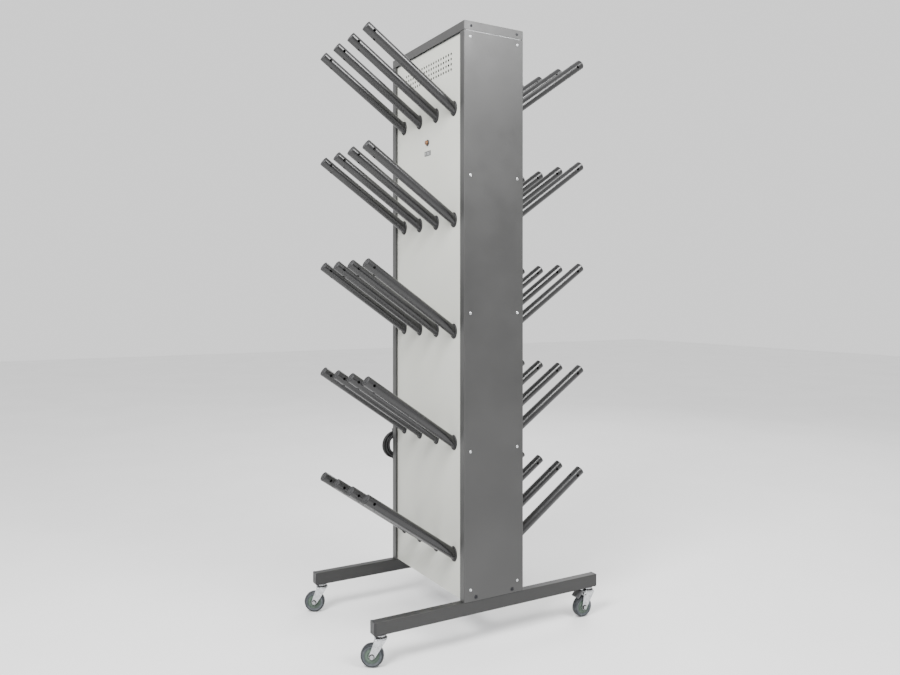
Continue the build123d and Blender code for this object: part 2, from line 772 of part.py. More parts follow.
# Casters: each fork turns on its kingpin, and its wheel on the axle behind it
pedal_pivot = (23.0, plate_bottom - 4.5)
for place, caster_x, caster_y, heading, braked in caster_places:
    trailing = Vector(heading[0], heading[1], 0)
    middle = Plane(origin=(caster_x, caster_y, 0), x_dir=trailing, z_dir=trailing.cross(Vector(0, 0, 1)))
    arm_offset = fork_gap / 2 + fork_plate / 2
    bore_radius = kingpin_radius + running_clearance

    with BuildPart() as fork:
        with BuildSketch(Plane.XY.offset(plate_top)):
            with Locations((caster_x, caster_y)):
                Circle(head_radius)
        extrude(amount=head_height, taper=8)
        with BuildSketch(middle):
            with Locations((0, plate_top - fork_plate / 2)):
                Rectangle(2 * fork_half_top, fork_plate)
        extrude(amount=fork_gap / 2 + fork_plate, both=True)
        for arm in (-1, 1):
            with BuildSketch(middle.offset(arm * arm_offset)):
                with BuildLine():
                    Line((-fork_half_top, plate_top), (fork_half_top, plate_top))
                    CenterArc((trail, wheel_radius), fork_foot_radius, 0, 360)
                    if braked:
                        CenterArc(pedal_pivot, pedal_ear_radius, 0, 360)
                make_hull()
                with Locations((trail, wheel_radius)):
                    Circle(axle_radius, mode=Mode.SUBTRACT)
                if braked:
                    with Locations(pedal_pivot):
                        Circle(pedal_pin + running_clearance, mode=Mode.SUBTRACT)
            extrude(amount=fork_plate / 2, both=True)
        with BuildSketch(Plane.XY.offset(plate_bottom - 1)):
            with Locations((caster_x, caster_y)):
                Circle(bore_radius)
        extrude(amount=20, mode=Mode.SUBTRACT)
    fork.part.label = f"caster_fork_{place}"
    export_step(fork.part, f"parts/caster_fork_{place}.step")

    with BuildPart() as axle:
        with BuildSketch(middle):
            with Locations((trail, wheel_radius)):
                Circle(axle_radius)
        extrude(amount=arm_offset + fork_plate / 2 + 6, both=True)
        for arm in (-1, 1):
            with BuildSketch(middle.offset(arm * (arm_offset + fork_plate / 2))):
                with Locations((trail, wheel_radius)):
                    RegularPolygon(nut_radius, 6)
            extrude(amount=arm * nut_thickness)
    axle.part.label = f"caster_axle_{place}"
    export_step(axle.part, f"parts/caster_axle_{place}.step")

    with BuildPart() as tyre:
        with BuildSketch(middle):
            with Locations((trail, wheel_radius)):
                Circle(wheel_radius)
        extrude(amount=wheel_width / 2, both=True)
        fillet(tyre.edges(), 5)
        with BuildSketch(middle):
            with Locations((trail, wheel_radius)):
                Circle(hub_radius)
        extrude(amount=wheel_width, both=True, mode=Mode.SUBTRACT)
    tyre.part.label = f"caster_tyre_{place}"
    export_step(tyre.part, f"parts/caster_tyre_{place}.step")

    with BuildPart() as hub:
        hub_steps = (
            (hub_radius, 9.5),
            (hub_step_radius, wheel_width / 2),
            (hub_boss_radius, fork_gap / 2 - 0.4),
        )
        for radius, half_length in hub_steps:
            with BuildSketch(middle):
                with Locations((trail, wheel_radius)):
                    Circle(radius)
            extrude(amount=half_length, both=True)
        with BuildSketch(middle):
            with Locations((trail, wheel_radius)):
                Circle(axle_radius + running_clearance)
        extrude(amount=fork_gap, both=True, mode=Mode.SUBTRACT)
    hub.part.label = f"caster_hub_{place}"
    export_step(hub.part, f"parts/caster_hub_{place}.step")

    if braked:
        with BuildPart() as pedal:
            with BuildSketch(middle):
                with Locations(pedal_pivot):
                    Circle(pedal_pin)
            extrude(amount=arm_offset + fork_plate / 2 + 1.5, both=True)
            for arm in (-1, 1):
                with BuildSketch(middle.offset(arm * link_offset)):
                    with BuildLine():
                        CenterArc(pedal_pivot, link_radius, 0, 360)
                        Line(*link_end)
                    make_hull()
                extrude(amount=link_thickness / 2, both=True)
            with BuildSketch(middle):
                with BuildLine():
                    Polyline(*tread_outline, close=True)
                make_face()
            extrude(amount=tread_half_width, both=True)
        pedal.part.label = f"brake_pedal_{place}"
        export_step(pedal.part, f"parts/brake_pedal_{place}.step")
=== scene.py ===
import math

import bmesh
import bpy
from mathutils import Matrix, Vector
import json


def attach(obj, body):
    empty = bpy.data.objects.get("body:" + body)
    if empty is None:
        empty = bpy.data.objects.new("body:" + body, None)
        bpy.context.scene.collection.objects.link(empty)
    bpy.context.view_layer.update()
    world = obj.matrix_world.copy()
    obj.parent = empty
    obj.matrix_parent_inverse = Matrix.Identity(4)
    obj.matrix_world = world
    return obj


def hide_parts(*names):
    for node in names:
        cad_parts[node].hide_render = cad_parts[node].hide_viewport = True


# Boot dryer: materials, detail pieces, the power cord, camera and light round the CAD frame.
# Blender works in metres; the sizes below are in millimetres, and basis() scales them.
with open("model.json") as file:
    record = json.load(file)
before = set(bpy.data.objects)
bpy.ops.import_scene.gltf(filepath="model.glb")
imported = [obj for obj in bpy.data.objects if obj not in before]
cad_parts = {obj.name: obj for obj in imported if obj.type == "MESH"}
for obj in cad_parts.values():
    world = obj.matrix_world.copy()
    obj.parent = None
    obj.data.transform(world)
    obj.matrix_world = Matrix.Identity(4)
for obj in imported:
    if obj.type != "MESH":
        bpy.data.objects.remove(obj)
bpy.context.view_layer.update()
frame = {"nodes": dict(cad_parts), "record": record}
nodes = frame["nodes"]
MM = 0.001
Z = Vector((0, 0, 1))

# Sizes shared with the CAD, in millimetres
CASTER_HEIGHT = 104
HALF_WIDTH = 275
PANEL_FACE = 111
TUBE_RADIUS = 17.5
BORE_RADIUS = 15.9
TUBE_SLOPE = math.radians(35)
TUBE_REACH = 328
TUBE_XS = (-190.5, -63.5, 63.5, 190.5)
FIRST_ROW = 185
ROW_PITCH = 383.5
ROW_HEIGHTS = [CASTER_HEIGHT + FIRST_ROW + ROW_PITCH * row for row in range(5)]
SCREW_HEIGHTS = (84.5, 550, 1016, 1481.5, 1947)
SCREW_Y = 95
LID_SCREW_HEIGHT = 1984
LID_SCREW_Y = 93
BOLT_HEIGHT = 57.5
BOLT_Y = 73.5
SWITCH_HEIGHT = 1633
LABEL_HEIGHT = 1594
WHEEL_RADIUS = 37.5
TRAIL = 27
COIL_CENTRE = Vector((-299, -95, 587))
COIL_MEAN_RADIUS = 43.5
GLAND = Vector((-275, -51, 800))
PLUG_TOP = Vector((-303, -50, 525))
DOWN = (0, 0, -1)


# ---------------------------------------------------------------- camera
def make_camera():
    """A level view from a little over a metre up, on the right end's side of the front."""
    data = bpy.data.cameras.new("camera")
    data.lens = 32.04
    data.sensor_width = 36
    data.shift_y = -0.0457
    data.clip_end = 60
    camera = bpy.data.objects.new("camera", data)
    bpy.context.scene.collection.objects.link(camera)
    camera.location = (2.577, -1.4965, 1.1767)
    camera.rotation_euler = (math.radians(90), 0, math.radians(60.14))
    bpy.context.scene.camera = camera


make_camera()


# ---------------------------------------------------------------- materials
def shader(name, colour, roughness, metallic=0.0, coat=0.0, specular=0.5):
    """A new material with its constants on the shader's own sockets."""
    material = bpy.data.materials.new(name)
    material.use_nodes = True
    bsdf = material.node_tree.nodes["Principled BSDF"]
    bsdf.inputs["Base Color"].default_value = (*colour, 1)
    bsdf.inputs["Roughness"].default_value = roughness
    bsdf.inputs["Metallic"].default_value = metallic
    bsdf.inputs["Coat Weight"].default_value = coat
    bsdf.inputs["Coat Roughness"].default_value = 0.2
    bsdf.inputs["Specular IOR Level"].default_value = specular
    return material


def noise(material, scale, detail=4.0, stretch=(1, 1, 1), roughness=0.5):
    """A noise texture in object space, its grain stretched along an axis if asked."""
    tree = material.node_tree
    place = tree.nodes.new("ShaderNodeTexCoord")
    mapping = tree.nodes.new("ShaderNodeMapping")
    mapping.inputs["Scale"].default_value = stretch
    texture = tree.nodes.new("ShaderNodeTexNoise")
    texture.inputs["Scale"].default_value = scale
    texture.inputs["Detail"].default_value = detail
    texture.inputs["Roughness"].default_value = roughness
    tree.links.new(place.outputs["Object"], mapping.inputs["Vector"])
    tree.links.new(mapping.outputs["Vector"], texture.inputs["Vector"])
    return texture.outputs["Fac"]


def vary_colour(material, factor, dark, light, low=0.35, high=0.65):
    """Base colour runs from dark to light with a texture."""
    tree = material.node_tree
    ramp = tree.nodes.new("ShaderNodeValToRGB")
    ramp.color_ramp.elements[0].position = low
    ramp.color_ramp.elements[0].color = (*dark, 1)
    ramp.color_ramp.elements[1].position = high
    ramp.color_ramp.elements[1].color = (*light, 1)
    tree.links.new(factor, ramp.inputs["Fac"])
    tree.links.new(ramp.outputs["Color"], tree.nodes["Principled BSDF"].inputs["Base Color"])


def vary_roughness(material, factor, low, high):
    """Roughness runs from low to high with a texture."""
    tree = material.node_tree
    spread = tree.nodes.new("ShaderNodeMapRange")
    spread.inputs["From Min"].default_value = 0.3
    spread.inputs["From Max"].default_value = 0.7
    spread.inputs["To Min"].default_value = low
    spread.inputs["To Max"].default_value = high
    tree.links.new(factor, spread.inputs["Value"])
    tree.links.new(spread.outputs["Result"], tree.nodes["Principled BSDF"].inputs["Roughness"])


def bump(material, factor, distance, strength=1.0):
    """Relief from a texture, chained after any earlier bump."""
    tree = material.node_tree
    relief = tree.nodes.new("ShaderNodeBump")
    relief.inputs["Strength"].default_value = strength
    relief.inputs["Distance"].default_value = distance
    tree.links.new(factor, relief.inputs["Height"])
    normal = tree.nodes["Principled BSDF"].inputs["Normal"]
    if normal.is_linked:
        tree.links.new(normal.links[0].from_socket, relief.inputs["Normal"])
    tree.links.new(relief.outputs["Normal"], normal)


def scaled(colour, amount):
    """A colour made darker or lighter."""
    return tuple(channel * amount for channel in colour)


def powder_coat(name, colour, roughness, spread=0.12, grain=900, depth=0.00012):
    """Baked powder paint: orange-peel grain, faint clouding and patchy gloss."""
    material = shader(name, colour, roughness, coat=0.05)
    cloud = noise(material, 3.5, 3)
    vary_colour(material, cloud, scaled(colour, 1 - spread), scaled(colour, 1 + spread))
    vary_roughness(material, noise(material, 14, 5), roughness - 0.05, roughness + 0.06)
    bump(material, noise(material, grain, 2), depth, 0.5)
    bump(material, noise(material, grain / 7, 2), depth * 2, 0.25)
    return material


def plated(name, colour, roughness, scale=60, stretch=(1, 1, 1)):
    """Zinc or steel with fine rubbing marks and clouded gloss."""
    material = shader(name, colour, roughness, metallic=1.0)
    vary_colour(material, noise(material, scale, 6), scaled(colour, 0.78), scaled(colour, 1.12))
    vary_roughness(material, noise(material, scale * 2, 6, stretch), roughness - 0.08, roughness + 0.12)
    bump(material, noise(material, scale * 12, 3, stretch), 0.00006, 0.5)
    return material


def spangled(name, colour):
    """Galvanised sheet with its crystal flakes."""
    material = shader(name, colour, 0.45, metallic=0.9)
    tree = material.node_tree
    place = tree.nodes.new("ShaderNodeTexCoord")
    flakes = tree.nodes.new("ShaderNodeTexVoronoi")
    flakes.inputs["Scale"].default_value = 90
    tree.links.new(place.outputs["Object"], flakes.inputs["Vector"])
    vary_colour(material, flakes.outputs["Color"], scaled(colour, 0.75), scaled(colour, 1.15), 0.1, 0.9)
    vary_roughness(material, noise(material, 120, 3), 0.38, 0.55)
    return material


def moulded(name, colour, roughness, grain=1400, depth=0.00008):
    """Moulded plastic or rubber: fine spark-eroded grain and slight fading."""
    material = shader(name, colour, roughness, specular=0.4)
    vary_colour(material, noise(material, 22, 4), scaled(colour, 0.8), scaled(colour, 1.35))
    vary_roughness(material, noise(material, 60, 4), roughness - 0.07, roughness + 0.08)
    bump(material, noise(material, grain, 2), depth, 0.6)
    return material


def dusty(name, colour, dust, roughness):
    """Rubber that has picked up floor dust in patches."""
    material = shader(name, colour, roughness, specular=0.35)
    vary_colour(material, noise(material, 70, 8, roughness=0.65), colour, dust, 0.42, 0.78)
    vary_roughness(material, noise(material, 90, 4), roughness - 0.08, roughness + 0.1)
    bump(material, noise(material, 700, 4), 0.00015, 0.6)
    return material


def lens(name, colour):
    """Tinted glossy plastic of a lit push button."""
    material = shader(name, colour, 0.15, coat=0.6)
    bsdf = material.node_tree.nodes["Principled BSDF"]
    bsdf.inputs["Transmission Weight"].default_value = 0.15
    bsdf.inputs["IOR"].default_value = 1.49
    vary_colour(material, noise(material, 160, 3), scaled(colour, 0.6), scaled(colour, 1.3))
    bump(material, noise(material, 500, 2), 0.00004, 0.4)
    return material


MATERIALS = {
    "panel_dark": powder_coat("charcoal_powder_coat", (0.034, 0.034, 0.0336), 0.42),
    "panel_pale": powder_coat("pale_powder_coat", (0.46, 0.466, 0.425), 0.45, spread=0.03),
    # Legs: the end panels' charcoal coat, painted darker here as painted shade for the lower, less lit
    # part of the frame
    "leg_paint": powder_coat("leg_coat_painted_shade", (0.013, 0.013, 0.0128), 0.45),
    "tube_paint": powder_coat("tube_enamel", (0.012, 0.012, 0.0125), 0.23, grain=600, depth=0.00006),
    "galvanised": spangled("galvanised_sheet", (0.55, 0.56, 0.57)),
    "black_plastic": moulded("black_nylon", (0.016, 0.016, 0.017), 0.48),
    "screw_steel": plated("zinc_screw", (0.58, 0.59, 0.60), 0.25, 200),
    "black_steel": plated("black_oxide", (0.045, 0.046, 0.05), 0.42, 150),
    "grommet_rubber": moulded("grommet_rubber", (0.010, 0.010, 0.011), 0.55),
    "motor_steel": powder_coat("motor_paint", (0.22, 0.23, 0.24), 0.45),
    "heater_steel": plated("heat_stained_steel", (0.38, 0.33, 0.28), 0.4, 40),
    "label_print": moulded("label_film", (0.10, 0.103, 0.103), 0.35, 800, 0.00002),
    "label_mark": moulded("label_marks", (0.42, 0.43, 0.42), 0.35, 800, 0.00002),
    "button_lens": lens("amber_lens", (0.20, 0.075, 0.016)),
    "cord_rubber": moulded("cord_sheath", (0.013, 0.013, 0.014), 0.42, 900),
    "zinc": plated("bright_zinc", (0.50, 0.51, 0.525), 0.28, 90),
    "zinc_nut": plated("zinc_nut", (0.34, 0.35, 0.36), 0.3, 120),
    "grease": moulded("swivel_grease", (0.02, 0.018, 0.016), 0.3, 500),
    "rim_grey": dusty("tyre_side", (0.045, 0.052, 0.058), (0.10, 0.108, 0.112), 0.5),
    "tyre_rubber": dusty("caster_tyre", (0.013, 0.015, 0.018), (0.05, 0.055, 0.06), 0.55),
    "hub_plastic": moulded("caster_hub", (0.06, 0.085, 0.066), 0.45, 900),
    "pedal_paint": powder_coat("pedal_paint", (0.055, 0.055, 0.058), 0.42),
}


def paint(piece, slot):
    """One procedural material over the whole piece."""
    piece.data.materials.clear()
    piece.data.materials.append(MATERIALS[slot])


for part in frame["record"]["subparts"]:
    paint(nodes[part["node"]], part["material_slot"])


# ---------------------------------------------------------------- mesh helpers
def add_piece(name, mesh, slot, body, stands_for=(), crease=35):
    """Links a bmesh as a piece that rides on a body. Corners over crease degrees stay sharp."""
    bmesh.ops.remove_doubles(mesh, verts=mesh.verts, dist=1e-7)
    bmesh.ops.recalc_face_normals(mesh, faces=mesh.faces)
    data = bpy.data.meshes.new(name)
    mesh.to_mesh(data)
    mesh.free()
    data.shade_smooth()
    data.set_sharp_from_angle(angle=math.radians(crease))
    piece = bpy.data.objects.new(name, data)
    bpy.context.scene.collection.objects.link(piece)
    paint(piece, slot)
    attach(piece, body)
    if stands_for:
        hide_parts(*stands_for)
    return piece


def basis(origin, along, across=None):
    """A matrix in metres from local millimetres: local z runs along, local x across."""
    along = Vector(along).normalized()
    if across is None:
        across = Vector((1, 0, 0)) if abs(along.x) < 0.9 else Vector((0, 1, 0))
    across = Vector(across)
    across = (across - along * across.dot(along)).normalized()
    side = along.cross(across)
    matrix = Matrix((across, side, along)).transposed().to_4x4()
    matrix.translation = Vector(origin)
    return Matrix.Scale(MM, 4) @ matrix


def upward(matrix):
    """1 where local y points up, -1 where it points down."""
    return 1 if (matrix.to_3x3() @ Vector((0, 1, 0))).z > 0 else -1


def ring(mesh, points):
    """New vertices at the points."""
    return [mesh.verts.new(point) for point in points]


def bridge(mesh, first, second):
    """Quads between two rings of the same length."""
    count = len(first)
    for i in range(count):
        j = (i + 1) % count
        mesh.faces.new((first[i], first[j], second[j], second[i]))


def lathe(mesh, matrix, profile, segments=48):
    """Turns a profile of (radius, height) about the local z axis. A radius of 0 closes the end."""
    previous = None
    for radius, height in profile:
        if radius == 0:
            current = [mesh.verts.new(matrix @ Vector((0, 0, height)))]
        else:
            current = ring(mesh, [matrix @ Vector((x, y, height)) for x, y in polygon(radius, segments)])
        if previous and len(current) == len(previous):
            bridge(mesh, previous, current)
        elif previous:
            tip, rim = sorted((previous, current), key=len)
            for i in range(segments):
                mesh.faces.new((rim[i], rim[(i + 1) % segments], tip[0]))
        previous = current


def prism(mesh, matrix, outline, low, high, chamfer=0.0):
    """An outline in local x and y, solid from low to high, its two rims cut back by a chamfer."""
    middle = sum((Vector((x, y, 0)) for x, y in outline), Vector()) / len(outline)

    def at(height, inset):
        points = []
        for x, y in outline:
            away = Vector((x, y, 0)) - middle
            shrink = 1 - inset / max(away.length, 1e-6)
            points.append(matrix @ (middle + away * shrink + Vector((0, 0, height))))
        return ring(mesh, points)

    if chamfer:
        levels = [(low, chamfer), (low + chamfer, 0), (high - chamfer, 0), (high, chamfer)]
    else:
        levels = [(low, 0), (high, 0)]
    rings = [at(height, inset) for height, inset in levels]
    for first, second in zip(rings, rings[1:]):
        bridge(mesh, first, second)
    mesh.faces.new(list(reversed(rings[0])))
    mesh.faces.new(rings[-1])


def polygon(radius, sides, turn=0.0):
    """The corners of a regular polygon about its middle."""
    return [
        (radius * math.cos(turn + math.tau * i / sides), radius * math.sin(turn + math.tau * i / sides))
        for i in range(sides)
    ]


def rounded_rectangle(width, height, radius, steps=5):
    """The outline of a rectangle with round corners, about its middle."""
    outline = []
    for quarter, (sx, sy) in enumerate(((1, 1), (-1, 1), (-1, -1), (1, -1))):
        for step in range(steps + 1):
            angle = math.radians(90 * (quarter + step / steps))
            outline.append(
                (
                    sx * (width / 2 - radius) + radius * math.cos(angle),
                    sy * (height / 2 - radius) + radius * math.sin(angle),
                )
            )
    return outline


def hull(points):
    """The convex outline round some points, anticlockwise."""
    points = sorted(set(points))

    def half(ordered):
        chain = []
        for p in ordered:
            while len(chain) > 1:
                a, b = chain[-2], chain[-1]
                if (b[0] - a[0]) * (p[1] - a[1]) - (b[1] - a[1]) * (p[0] - a[0]) > 1e-9:
                    break
                chain.pop()
            chain.append(p)
        return chain[:-1]

    return half(points) + half(list(reversed(points)))


def circle_points(centre, radius, count=28):
    """Points round a circle, for an outline's hull."""
    return [(centre[0] + x, centre[1] + y) for x, y in polygon(radius, count)]


# ---------------------------------------------------------------- power cord
CORD_ROUTE = [
    (-311, -51, 800),
    (-341, -51, 800),
    (-366, -51.5, 785),
    (-380, -52, 760),
    (-383, -52, 729),
    (-374, -51.5, 696),
    (-356, -51.5, 665),
    (-336, -52.5, 637),
    (-324, -54, 610),
]
TAIL_ROUTE = [(-298, -44, 566), (-302, -47.5, 550), (-303, -50, 537), (-303, -50, 521)]
CORD_RADIUS = 4
TURNS = 9
STEPS_A_TURN = 14
LAYER = 8.3
NEAR_X = -311
FAR_X = NEAR_X + 3 * LAYER
INNER_RADIUS = 35.8


def coil_place(turn):
    """(x, radius) of the coil at a count of turns: three layers wound out, back and out again."""
    if turn < 0.5:
        return NEAR_X - 9 + 18 * turn, INNER_RADIUS + 4.2 - 8.4 * turn
    if turn < 3.5:
        return NEAR_X + LAYER * (turn - 0.5), INNER_RADIUS
    if turn < 3.75:
        return FAR_X, INNER_RADIUS + LAYER * (turn - 3.5) * 4
    if turn < 6.75:
        return FAR_X - LAYER * (turn - 3.75), INNER_RADIUS + LAYER
    if turn < 7:
        return NEAR_X, INNER_RADIUS + LAYER * (1 + (turn - 6.75) * 4)
    return NEAR_X + LAYER * (turn - 7), INNER_RADIUS + 2 * LAYER


def cord_points():
    """The cord's control points in metres: the drop from the gland, the coil's turns, then the tail."""
    points = [Vector(point) for point in CORD_ROUTE]
    for step in range(TURNS * STEPS_A_TURN + 1):
        turn = step / STEPS_A_TURN
        x, radius = coil_place(turn)
        sway = 1.5 * math.sin(2.1 * turn) * max(0.0, turn - 7) / 2
        angle = -math.tau * turn
        y = COIL_CENTRE.y + (radius + sway) * math.cos(angle)
        points.append(Vector((x, y, COIL_CENTRE.z + radius * math.sin(angle))))
    points += [Vector(point) for point in TAIL_ROUTE]
    return [point * MM for point in points]


def make_cord():
    """The cord itself: a round spline through the control points."""
    curve = bpy.data.curves.new("power_cord", "CURVE")
    curve.dimensions = "3D"
    curve.bevel_depth = CORD_RADIUS * MM
    curve.bevel_resolution = 5
    curve.resolution_u = 5
    curve.use_fill_caps = True
    spline = curve.splines.new("NURBS")
    points = cord_points()
    spline.points.add(len(points) - 1)
    for place, point in zip(spline.points, points):
        place.co = (*point, 1)
    spline.order_u = 3
    spline.use_endpoint_u = True
    cord = bpy.data.objects.new("power_cord", curve)
    bpy.context.scene.collection.objects.link(cord)
    paint(cord, "cord_rubber")
    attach(cord, "cabinet")
    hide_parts("power_cord_run", "power_cord_coil")
    return cord


def make_plug():
    """Round plug with a ribbed collar, finger grips and two pins, hanging pins down."""
    place = basis(PLUG_TOP, DOWN)
    mesh = bmesh.new()
    profile = [(0, 0), (4.9, 0.02)]
    for rib in range(5):
        low = 1.5 + 3.6 * rib
        radius = 5.0 + 0.45 * rib
        profile += [(radius, low), (radius + 0.5, low + 0.6)]
        profile += [(radius + 0.5, low + 2.0), (radius - 0.2, low + 2.6)]
    profile += [(8, 20), (12.5, 20.6), (16.2, 23), (17.8, 27), (18, 32)]
    profile += [(17.1, 34), (17.1, 36), (18, 37), (17.1, 38), (17.1, 40), (18, 41)]
    profile += [(18, 54.6), (17.4, 56), (0, 56)]
    lathe(mesh, place, profile)
    plug = add_piece("plug_body", mesh, "black_plastic", "cabinet", ["power_plug"])
    mesh = bmesh.new()
    for offset in (-9.5, 9.5):
        pin = basis(PLUG_TOP + Vector((0, offset, 0)), DOWN)
        lathe(mesh, pin, [(2.4, 55), (2.4, 73), (1.9, 74.4), (1.0, 75), (0, 75)], 24)
    pins = add_piece("plug_pins", mesh, "screw_steel", "cabinet")
    return plug, pins


cord = make_cord()
plug, pins = make_plug()


def make_coil_tie():
    """A hook-and-loop strap round the bottom of the coil's bundle."""
    mesh = bmesh.new()
    half_width = 9
    place = basis(COIL_CENTRE - COIL_MEAN_RADIUS * Z, (0, 1, 0), (1, 0, 0))
    rings = []
    for along in (-half_width, half_width):
        for grow in (0.2, 1.4):
            outline = rounded_rectangle(34 + 2 * grow, 26 + 2 * grow, 9 + grow, 9)
            rings.append(ring(mesh, [place @ Vector((x, y, along)) for x, y in outline]))
    for first, second in ((0, 1), (1, 3), (3, 2), (2, 0)):
        bridge(mesh, rings[first], rings[second])
    add_piece("coil_tie", mesh, "grommet_rubber", "cabinet")


make_coil_tie()


# ---------------------------------------------------------------- gland
def make_gland():
    """Hexagon nut, domed cap and a ribbed tapered strain relief."""
    mesh = bmesh.new()
    out = basis(GLAND, (-1, 0, 0), Z)
    prism(mesh, out, polygon(14, 6), 0, 6, 0.7)
    lathe(mesh, out, [(10.5, 5.8), (10.5, 8), (10.0, 11), (8.8, 13.4), (7.2, 14.2)])
    profile = [(7.2, 14)]
    for rib in range(6):
        low = 14.6 + 3.5 * rib
        radius = 7.0 - 0.38 * rib
        profile += [(radius, low), (radius, low + 1.9)]
        profile += [(radius - 0.9, low + 2.2), (radius - 0.9, low + 3.2)]
    profile += [(4.9, 35.7), (4.6, 36), (0, 36)]
    lathe(mesh, out, profile)
    add_piece("cord_gland", mesh, "black_plastic", "cabinet", ["cable_gland"])


make_gland()


# ---------------------------------------------------------------- tubes: grommets and nozzle caps
def tube_axis(side, x, height, distance):
    """A point of a tube's axis at a distance outside the pale panel, and the tube's outward direction."""
    outward = Vector((0, side * math.cos(TUBE_SLOPE), math.sin(TUBE_SLOPE)))
    return Vector((x, side * PANEL_FACE, height)) + outward * distance, outward


def make_grommets(side, name, stands_for):
    """Black rubber rings: a soft lip that hugs the slanted tube, falling away to an oval flange."""
    stations = [(0.0, -3.2), (0.0, 3.6), (0.10, 4.6), (0.32, 5.0)]
    stations += [(0.62, 4.3), (0.86, 2.9), (1.0, 1.2), (0.99, 0.0)]
    hug = TUBE_RADIUS - 0.05
    segments = 44
    mesh = bmesh.new()
    for height in ROW_HEIGHTS:
        for x in TUBE_XS:
            previous = None
            for blend, out in stations:
                lift = out * math.tan(TUBE_SLOPE)
                points = []
                for i in range(segments):
                    angle = math.tau * i / segments
                    inner = (hug * math.cos(angle), hug / math.cos(TUBE_SLOPE) * math.sin(angle) + lift)
                    outer = (22.0 * math.cos(angle), 26.5 * math.sin(angle) + 1)
                    px = inner[0] + (outer[0] - inner[0]) * blend
                    pz = inner[1] + (outer[1] - inner[1]) * blend
                    points.append(Vector((x + px, side * (PANEL_FACE + out), height + pz)) * MM)
                current = ring(mesh, points)
                if previous:
                    bridge(mesh, previous, current)
                previous = current
    add_piece(name, mesh, "grommet_rubber", "cabinet", [stands_for], 50)


def make_tube_caps(side, name, stands_for):
    """Nylon end caps: a rolled rim round a recessed face with a raised middle."""
    length = TUBE_REACH / math.cos(TUBE_SLOPE)
    profile = [(BORE_RADIUS, -11), (BORE_RADIUS, 0), (TUBE_RADIUS, 0.02), (TUBE_RADIUS, 0.9)]
    profile += [(17.2, 1.9), (16.3, 2.7), (15.0, 3.0), (13.6, 2.7), (12.8, 1.9), (12.6, 1.4)]
    profile += [(7.4, 1.4), (7.0, 2.0), (6.2, 2.6), (5.0, 2.8), (0, 2.9)]
    mesh = bmesh.new()
    for height in ROW_HEIGHTS:
        for x in TUBE_XS:
            tip, outward = tube_axis(side, x, height, length)
            lathe(mesh, basis(tip, outward), profile, 36)
    add_piece(name, mesh, "black_plastic", "cabinet", [stands_for])


for side, word in ((-1, "front"), (1, "back")):
    make_grommets(side, f"{word}_tube_grommets", f"{word}_grommets")
    make_tube_caps(side, f"{word}_nozzle_caps", f"{word}_tube_caps")


# ---------------------------------------------------------------- fasteners
def cross_head(mesh, place, radius, height):
    """A dome screw head with a cross recess pressed into it."""
    segments = 32
    levels = 9
    previous = None
    for level in range(levels + 1):
        reach = 1 - level / (levels + 0.6)
        points = []
        for i in range(segments):
            angle = math.tau * i / segments
            r = radius * reach
            top = height * math.sqrt(max(0.0, 1 - (reach * 0.97) ** 2))
            near, far = sorted((abs(r * math.cos(angle)), abs(r * math.sin(angle))))
            if near < 0.16 * radius and far < 0.56 * radius:
                top -= 0.34 * height
            points.append(place @ Vector((r * math.cos(angle), r * math.sin(angle), top)))
        current = ring(mesh, points)
        if previous:
            bridge(mesh, previous, current)
        previous = current
    mesh.faces.new(previous)


def socket_head(mesh, place, radius, height):
    """A low round bolt head with a hexagon socket."""
    segments = 36
    rim_radius = radius * 0.62
    profile = [(radius, 0), (radius, height * 0.45), (radius * 0.86, height * 0.85), (rim_radius, height)]
    lathe(mesh, place, profile, segments)
    rim = [Vector((x, y, height)) for x, y in polygon(rim_radius, segments)]
    rim_ring = ring(mesh, [place @ point for point in rim])
    socket = polygon(radius * 0.5, 6)
    hexagon = []
    for i in range(segments):
        corner, share = divmod(i, 6)
        a = Vector((*socket[corner], 0))
        b = Vector((*socket[(corner + 1) % 6], 0))
        hexagon.append(a.lerp(b, share / 6))
    top = ring(mesh, [place @ (point + Vector((0, 0, height))) for point in hexagon])
    floor = ring(mesh, [place @ (point + Vector((0, 0, height * 0.35))) for point in hexagon])
    bridge(mesh, rim_ring, top)
    bridge(mesh, top, floor)
    mesh.faces.new(floor)


def make_fasteners():
    """Cross-head screws in the end panels and the lid, and socket bolts with washers above the legs."""
    washer = [(6.6, 0.02), (6.6, 0.45), (6.2, 0.6), (4.4, 0.6)]
    end_screws = bmesh.new()
    lid_heads = bmesh.new()
    bolts = bmesh.new()
    for end in (-1, 1):
        for side in (-1, 1):
            for index, height in enumerate(SCREW_HEIGHTS):
                turn = 0.7 * index + 0.4 * end + 1.1 * side
                across = (0, math.cos(turn), math.sin(turn))
                spot = (end * HALF_WIDTH, side * SCREW_Y, CASTER_HEIGHT + height)
                cross_head(end_screws, basis(spot, (end, 0, 0), across), 5.0, 2.4)
            spot = (end * HALF_WIDTH, side * LID_SCREW_Y, CASTER_HEIGHT + LID_SCREW_HEIGHT)
            place = basis(spot, (end, 0, 0), (0, 1, side))
            cross_head(lid_heads, place, 4.6, 2.2)
            spot = (end * HALF_WIDTH, side * BOLT_Y, CASTER_HEIGHT + BOLT_HEIGHT)
            place = basis(spot, (end, 0, 0), (0, 1, 0.3 * side))
            lathe(bolts, place, washer, 36)
            socket_head(bolts, place, 5.5, 3.0)
    add_piece("end_screw_heads", end_screws, "screw_steel", "cabinet", ["end_panel_screws"], 28)
    add_piece("lid_screw_heads", lid_heads, "black_steel", "cabinet", ["lid_screws"], 28)
    add_piece("bolt_heads", bolts, "black_steel", "cabinet", ["leg_bracket_bolts"])


make_fasteners()


